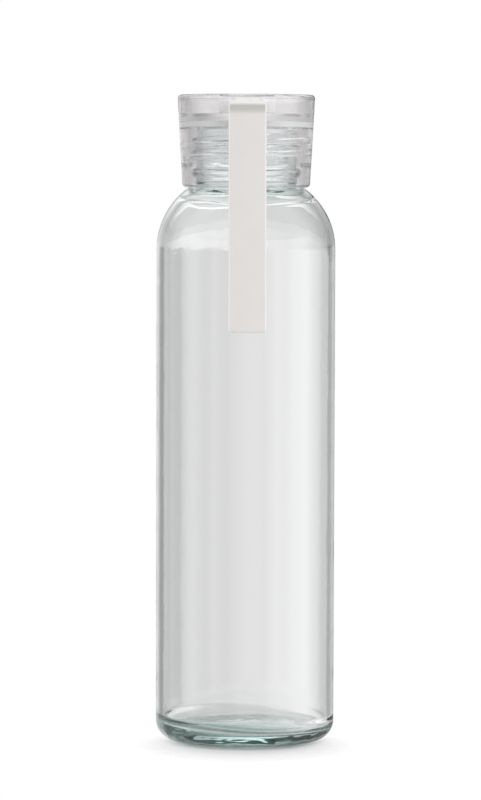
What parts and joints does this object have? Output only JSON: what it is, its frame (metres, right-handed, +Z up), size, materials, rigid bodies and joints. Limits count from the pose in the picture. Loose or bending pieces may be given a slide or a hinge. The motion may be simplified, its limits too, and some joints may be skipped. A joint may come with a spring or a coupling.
{
  "type": "glass bottle",
  "caption": "Clear glass drinking bottle with a round shoulder, a clear threaded screw cap with a seal, and a soft strap that hangs from the cap.",
  "frame": {"origin": "on the bottle's axis, on the surface that the bottle stands on; the flat middle of the underside lies 0.8 mm above it", "axes": "+Z up along the bottle's axis, -Y towards the side where the strap hangs, +X to the right when facing the strap"},
  "size_m": [0.062, 0.0701, 0.224],
  "materials": {
    "glass": "polished",
    "clear_plastic": "polished",
    "silicone": "satin",
    "soft_strap": "matte"
  },
  "bodies": {
    "bottle": {"glass_bottle": "glass"},
    "seal": {"seal_ring": "silicone"},
    "cap": {"cap_shell": "clear_plastic", "cap_lid": "clear_plastic", "strap_anchor": "soft_strap"},
    "strap": {"strap_loop": "soft_strap"}
  },
  "joints": [
    {"name": "cap_rise", "type": "slide", "parent": "bottle", "child": "seal", "axis": [0, 0, 1], "range_m": [0, 0.0255]},
    {"name": "cap_turn", "type": "hinge", "parent": "seal", "child": "cap", "pos_m": [0, 0, 0.2], "axis": [0, 0, 1], "range_deg": [0, 2160]},
    {"name": "strap_swing", "type": "hinge", "parent": "cap", "child": "strap", "pos_m": [0, -0.0259, 0.21975], "axis": [-1, 0, 0], "range_deg": [0, 170]}
  ],
  "couplings": [
    {"joint": "cap_rise", "follows": "cap_turn", "m_per_rad": 0.00067376}
  ]
}
